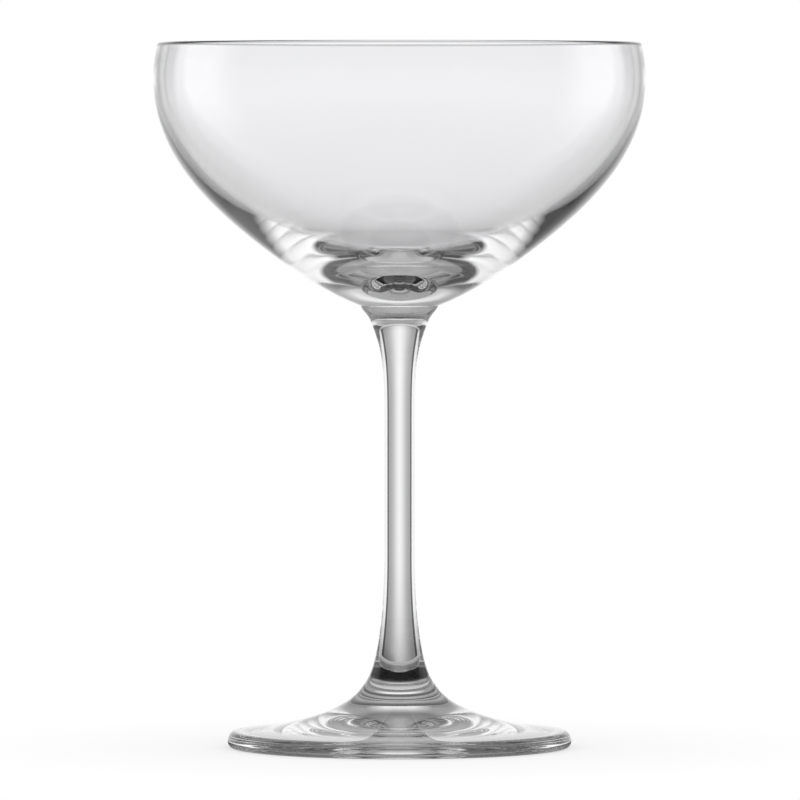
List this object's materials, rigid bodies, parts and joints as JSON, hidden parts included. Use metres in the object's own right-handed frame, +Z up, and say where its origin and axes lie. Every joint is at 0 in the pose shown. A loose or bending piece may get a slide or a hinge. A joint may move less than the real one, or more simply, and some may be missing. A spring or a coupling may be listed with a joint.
{
  "type": "coupe glass",
  "caption": "Clear stemmed coupe glass with a wide shallow bowl, a thick lens of glass under its floor, a slender flared stem and a round domed foot.",
  "frame": {"origin": "centre of the resting ring under the foot, on the surface that the glass stands on", "axes": "+Z up along the axis of the glass, from the foot to the rim; X and Y are free, because the glass is round"},
  "size_m": [0.1024, 0.1024, 0.147],
  "materials": {
    "clear_glass": "clear, fire-polished"
  },
  "bodies": {
    "root": {"bowl": "clear_glass", "stem": "clear_glass", "foot": "clear_glass"}
  },
  "joints": []
}
